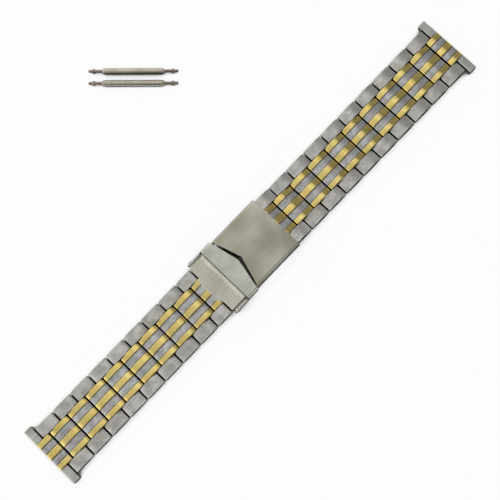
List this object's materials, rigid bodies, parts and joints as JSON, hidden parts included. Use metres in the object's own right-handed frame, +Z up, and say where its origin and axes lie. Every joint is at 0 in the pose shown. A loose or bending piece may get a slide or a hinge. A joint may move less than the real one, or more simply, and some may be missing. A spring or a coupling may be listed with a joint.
{
  "type": "metal watch bracelet",
  "caption": "Two-tone metal watch bracelet with hinged links, striped centre links, a fold-over clasp with safety flap, and two loose spring bars.",
  "frame": {"origin": "middle of the closed clasp's underside, where it rests on a table", "axes": "+X along the bracelet towards the strap that enters the clasp cover, +Y across it, +Z up through the clasp's top"},
  "size_m": [0.1616, 0.0813, 0.0052],
  "materials": {
    "link_steel": "brushed along the strap, polished edges",
    "gold_plate": "satin gold plate",
    "clasp_steel": "fine brushed, slightly warm grey",
    "flap_steel": "satin",
    "bar_steel": "turned and polished"
  },
  "bodies": {
    "base": {"base_blade": "clasp_steel", "end_plate": "clasp_steel", "blade_pin": "bar_steel", "left_strap_bar": "bar_steel", "spring_bar_1_tube": "bar_steel", "spring_bar_1_coil": "bar_steel", "spring_bar_2_tube": "bar_steel", "spring_bar_2_coil": "bar_steel"},
    "middle_blade": {"middle_blade": "clasp_steel"},
    "cover": {"cover": "clasp_steel", "cover_pin": "bar_steel", "flap_rivets": "bar_steel", "right_strap_bar": "bar_steel"},
    "safety_flap": {"safety_flap": "flap_steel"},
    "spring_bar_1_tip_a": {"spring_bar_1_tip_a": "bar_steel"},
    "spring_bar_1_tip_b": {"spring_bar_1_tip_b": "bar_steel"},
    "spring_bar_2_tip_a": {"spring_bar_2_tip_a": "bar_steel"},
    "spring_bar_2_tip_b": {"spring_bar_2_tip_b": "bar_steel"},
    "left_centre_link_1": {"left_centre_link_1": "gold_plate"},
    "left_outer_links_1": {"left_outer_links_1": "link_steel"},
    "left_centre_link_2": {"left_centre_link_2": "gold_plate"},
    "left_outer_links_2": {"left_outer_links_2": "link_steel"},
    "left_centre_link_3": {"left_centre_link_3": "gold_plate"},
    "left_outer_links_3": {"left_outer_links_3": "link_steel"},
    "left_centre_link_4": {"left_centre_link_4": "gold_plate"},
    "left_outer_links_4": {"left_outer_links_4": "link_steel"},
    "left_centre_link_5": {"left_centre_link_5": "gold_plate"},
    "left_outer_links_5": {"left_outer_links_5": "link_steel"},
    "left_centre_link_6": {"left_centre_link_6": "gold_plate"},
    "left_outer_links_6": {"left_outer_links_6": "link_steel"},
    "left_centre_link_7": {"left_centre_link_7": "gold_plate"},
    "left_outer_links_7": {"left_outer_links_7": "link_steel"},
    "left_centre_link_8": {"left_centre_link_8": "gold_plate"},
    "left_outer_links_8": {"left_outer_links_8": "link_steel"},
    "left_centre_link_9": {"left_centre_link_9": "gold_plate"},
    "left_outer_links_9": {"left_outer_links_9": "link_steel"},
    "left_end_piece": {"left_end_bar": "link_steel", "left_end_stripes": "gold_plate"},
    "right_centre_link_1": {"right_centre_link_1": "gold_plate"},
    "right_outer_links_1": {"right_outer_links_1": "link_steel"},
    "right_centre_link_2": {"right_centre_link_2": "gold_plate"},
    "right_outer_links_2": {"right_outer_links_2": "link_steel"},
    "right_centre_link_3": {"right_centre_link_3": "gold_plate"},
    "right_outer_links_3": {"right_outer_links_3": "link_steel"},
    "right_centre_link_4": {"right_centre_link_4": "gold_plate"},
    "right_outer_links_4": {"right_outer_links_4": "link_steel"},
    "right_centre_link_5": {"right_centre_link_5": "gold_plate"},
    "right_outer_links_5": {"right_outer_links_5": "link_steel"},
    "right_centre_link_6": {"right_centre_link_6": "gold_plate"},
    "right_outer_links_6": {"right_outer_links_6": "link_steel"},
    "right_centre_link_7": {"right_centre_link_7": "gold_plate"},
    "right_outer_links_7": {"right_outer_links_7": "link_steel"},
    "right_centre_link_8": {"right_centre_link_8": "gold_plate"},
    "right_outer_links_8": {"right_outer_links_8": "link_steel"},
    "right_centre_link_9": {"right_centre_link_9": "gold_plate"},
    "right_outer_links_9": {"right_outer_links_9": "link_steel"},
    "right_centre_link_10": {"right_centre_link_10": "gold_plate"},
    "right_outer_links_10": {"right_outer_links_10": "link_steel"},
    "right_end_piece": {"right_end_bar": "link_steel", "right_end_stripes": "gold_plate"}
  },
  "joints": [
    {"name": "clasp_unfold", "type": "hinge", "parent": "base", "child": "middle_blade", "pos_m": [0.0094, 0, 0.0011], "axis": [0, 1, 0], "range_deg": [0, 165]},
    {"name": "cover_fold", "type": "hinge", "parent": "middle_blade", "child": "cover", "pos_m": [-0.0063, 0, 0.00275], "axis": [0, 1, 0], "range_deg": [-165, 0]},
    {"name": "flap_open", "type": "hinge", "parent": "cover", "child": "safety_flap", "pos_m": [-0.0117, 0, 0.0026], "axis": [0, -1, 0], "range_deg": [0, 110]},
    {"name": "spring_bar_1_tip_a_press", "type": "slide", "parent": "base", "child": "spring_bar_1_tip_a", "axis": [-0.682, 0.7314, 0], "range_m": [0, 0.00195], "stiffness_N_per_m": 300},
    {"name": "spring_bar_1_tip_b_press", "type": "slide", "parent": "base", "child": "spring_bar_1_tip_b", "axis": [0.682, -0.7314, 0], "range_m": [0, 0.00195], "stiffness_N_per_m": 300},
    {"name": "spring_bar_2_tip_a_press", "type": "slide", "parent": "base", "child": "spring_bar_2_tip_a", "axis": [-0.682, 0.7314, 0], "range_m": [0, 0.00195], "stiffness_N_per_m": 300},
    {"name": "spring_bar_2_tip_b_press", "type": "slide", "parent": "base", "child": "spring_bar_2_tip_b", "axis": [0.682, -0.7314, 0], "range_m": [0, 0.00195], "stiffness_N_per_m": 300},
    {"name": "left_hinge_1", "type": "hinge", "parent": "base", "child": "left_centre_link_1", "pos_m": [-0.0108, 0, 0.0013], "axis": [0, 1, 0], "range_deg": [-15, 5]},
    {"name": "left_hinge_2", "type": "hinge", "parent": "left_centre_link_1", "child": "left_outer_links_1", "pos_m": [-0.0143, 0, 0.0013], "axis": [0, 1, 0], "range_deg": [-15, 5]},
    {"name": "left_hinge_3", "type": "hinge", "parent": "left_outer_links_1", "child": "left_centre_link_2", "pos_m": [-0.0178, 0, 0.0013], "axis": [0, 1, 0], "range_deg": [-15, 5]},
    {"name": "left_hinge_4", "type": "hinge", "parent": "left_centre_link_2", "child": "left_outer_links_2", "pos_m": [-0.0213, 0, 0.0013], "axis": [0, 1, 0], "range_deg": [-15, 5]},
    {"name": "left_hinge_5", "type": "hinge", "parent": "left_outer_links_2", "child": "left_centre_link_3", "pos_m": [-0.0248, 0, 0.0013], "axis": [0, 1, 0], "range_deg": [-15, 5]},
    {"name": "left_hinge_6", "type": "hinge", "parent": "left_centre_link_3", "child": "left_outer_links_3", "pos_m": [-0.0283, 0, 0.0013], "axis": [0, 1, 0], "range_deg": [-15, 5]},
    {"name": "left_hinge_7", "type": "hinge", "parent": "left_outer_links_3", "child": "left_centre_link_4", "pos_m": [-0.0318, 0, 0.0013], "axis": [0, 1, 0], "range_deg": [-15, 5]},
    {"name": "left_hinge_8", "type": "hinge", "parent": "left_centre_link_4", "child": "left_outer_links_4", "pos_m": [-0.0353, 0, 0.0013], "axis": [0, 1, 0], "range_deg": [-15, 5]},
    {"name": "left_hinge_9", "type": "hinge", "parent": "left_outer_links_4", "child": "left_centre_link_5", "pos_m": [-0.0388, 0, 0.0013], "axis": [0, 1, 0], "range_deg": [-15, 5]},
    {"name": "left_hinge_10", "type": "hinge", "parent": "left_centre_link_5", "child": "left_outer_links_5", "pos_m": [-0.0423, 0, 0.0013], "axis": [0, 1, 0], "range_deg": [-15, 5]},
    {"name": "left_hinge_11", "type": "hinge", "parent": "left_outer_links_5", "child": "left_centre_link_6", "pos_m": [-0.0458, 0, 0.0013], "axis": [0, 1, 0], "range_deg": [-15, 5]},
    {"name": "left_hinge_12", "type": "hinge", "parent": "left_centre_link_6", "child": "left_outer_links_6", "pos_m": [-0.0493, 0, 0.0013], "axis": [0, 1, 0], "range_deg": [-15, 5]},
    {"name": "left_hinge_13", "type": "hinge", "parent": "left_outer_links_6", "child": "left_centre_link_7", "pos_m": [-0.0528, 0, 0.0013], "axis": [0, 1, 0], "range_deg": [-15, 5]},
    {"name": "left_hinge_14", "type": "hinge", "parent": "left_centre_link_7", "child": "left_outer_links_7", "pos_m": [-0.0563, 0, 0.0013], "axis": [0, 1, 0], "range_deg": [-15, 5]},
    {"name": "left_hinge_15", "type": "hinge", "parent": "left_outer_links_7", "child": "left_centre_link_8", "pos_m": [-0.0598, 0, 0.0013], "axis": [0, 1, 0], "range_deg": [-15, 5]},
    {"name": "left_hinge_16", "type": "hinge", "parent": "left_centre_link_8", "child": "left_outer_links_8", "pos_m": [-0.0633, 0, 0.0013], "axis": [0, 1, 0], "range_deg": [-15, 5]},
    {"name": "left_hinge_17", "type": "hinge", "parent": "left_outer_links_8", "child": "left_centre_link_9", "pos_m": [-0.0668, 0, 0.0013], "axis": [0, 1, 0], "range_deg": [-15, 5]},
    {"name": "left_hinge_18", "type": "hinge", "parent": "left_centre_link_9", "child": "left_outer_links_9", "pos_m": [-0.0703, 0, 0.0013], "axis": [0, 1, 0], "range_deg": [-15, 5]},
    {"name": "left_hinge_19", "type": "hinge", "parent": "left_outer_links_9", "child": "left_end_piece", "pos_m": [-0.0738, 0, 0.0013], "axis": [0, 1, 0], "range_deg": [-15, 5]},
    {"name": "right_hinge_1", "type": "hinge", "parent": "cover", "child": "right_centre_link_1", "pos_m": [0.0107, 0, 0.00275], "axis": [0, 1, 0], "range_deg": [-5, 15]},
    {"name": "right_hinge_2", "type": "hinge", "parent": "right_centre_link_1", "child": "right_outer_links_1", "pos_m": [0.01417, 0, 0.00227], "axis": [0, 1, 0], "range_deg": [-5, 15]},
    {"name": "right_hinge_3", "type": "hinge", "parent": "right_outer_links_1", "child": "right_centre_link_2", "pos_m": [0.01763, 0, 0.00178], "axis": [0, 1, 0], "range_deg": [-5, 15]},
    {"name": "right_hinge_4", "type": "hinge", "parent": "right_centre_link_2", "child": "right_outer_links_2", "pos_m": [0.0211, 0, 0.0013], "axis": [0, 1, 0], "range_deg": [-5, 15]},
    {"name": "right_hinge_5", "type": "hinge", "parent": "right_outer_links_2", "child": "right_centre_link_3", "pos_m": [0.0246, 0, 0.0013], "axis": [0, 1, 0], "range_deg": [-5, 15]},
    {"name": "right_hinge_6", "type": "hinge", "parent": "right_centre_link_3", "child": "right_outer_links_3", "pos_m": [0.0281, 0, 0.0013], "axis": [0, 1, 0], "range_deg": [-5, 15]},
    {"name": "right_hinge_7", "type": "hinge", "parent": "right_outer_links_3", "child": "right_centre_link_4", "pos_m": [0.0316, 0, 0.0013], "axis": [0, 1, 0], "range_deg": [-5, 15]},
    {"name": "right_hinge_8", "type": "hinge", "parent": "right_centre_link_4", "child": "right_outer_links_4", "pos_m": [0.0351, 0, 0.0013], "axis": [0, 1, 0], "range_deg": [-5, 15]},
    {"name": "right_hinge_9", "type": "hinge", "parent": "right_outer_links_4", "child": "right_centre_link_5", "pos_m": [0.0386, 0, 0.0013], "axis": [0, 1, 0], "range_deg": [-5, 15]},
    {"name": "right_hinge_10", "type": "hinge", "parent": "right_centre_link_5", "child": "right_outer_links_5", "pos_m": [0.0421, 0, 0.0013], "axis": [0, 1, 0], "range_deg": [-5, 15]},
    {"name": "right_hinge_11", "type": "hinge", "parent": "right_outer_links_5", "child": "right_centre_link_6", "pos_m": [0.0456, 0, 0.0013], "axis": [0, 1, 0], "range_deg": [-5, 15]},
    {"name": "right_hinge_12", "type": "hinge", "parent": "right_centre_link_6", "child": "right_outer_links_6", "pos_m": [0.0491, 0, 0.0013], "axis": [0, 1, 0], "range_deg": [-5, 15]},
    {"name": "right_hinge_13", "type": "hinge", "parent": "right_outer_links_6", "child": "right_centre_link_7", "pos_m": [0.0526, 0, 0.0013], "axis": [0, 1, 0], "range_deg": [-5, 15]},
    {"name": "right_hinge_14", "type": "hinge", "parent": "right_centre_link_7", "child": "right_outer_links_7", "pos_m": [0.0561, 0, 0.0013], "axis": [0, 1, 0], "range_deg": [-5, 15]},
    {"name": "right_hinge_15", "type": "hinge", "parent": "right_outer_links_7", "child": "right_centre_link_8", "pos_m": [0.0596, 0, 0.0013], "axis": [0, 1, 0], "range_deg": [-5, 15]},
    {"name": "right_hinge_16", "type": "hinge", "parent": "right_centre_link_8", "child": "right_outer_links_8", "pos_m": [0.0631, 0, 0.0013], "axis": [0, 1, 0], "range_deg": [-5, 15]},
    {"name": "right_hinge_17", "type": "hinge", "parent": "right_outer_links_8", "child": "right_centre_link_9", "pos_m": [0.0666, 0, 0.0013], "axis": [0, 1, 0], "range_deg": [-5, 15]},
    {"name": "right_hinge_18", "type": "hinge", "parent": "right_centre_link_9", "child": "right_outer_links_9", "pos_m": [0.0701, 0, 0.0013], "axis": [0, 1, 0], "range_deg": [-5, 15]},
    {"name": "right_hinge_19", "type": "hinge", "parent": "right_outer_links_9", "child": "right_centre_link_10", "pos_m": [0.0736, 0, 0.0013], "axis": [0, 1, 0], "range_deg": [-5, 15]},
    {"name": "right_hinge_20", "type": "hinge", "parent": "right_centre_link_10", "child": "right_outer_links_10", "pos_m": [0.0771, 0, 0.0013], "axis": [0, 1, 0], "range_deg": [-5, 15]},
    {"name": "right_hinge_21", "type": "hinge", "parent": "right_outer_links_10", "child": "right_end_piece", "pos_m": [0.0806, 0, 0.0013], "axis": [0, 1, 0], "range_deg": [-5, 15]}
  ],
  "couplings": [
    {"joint": "cover_fold", "follows": "clasp_unfold", "ratio": -1}
  ]
}
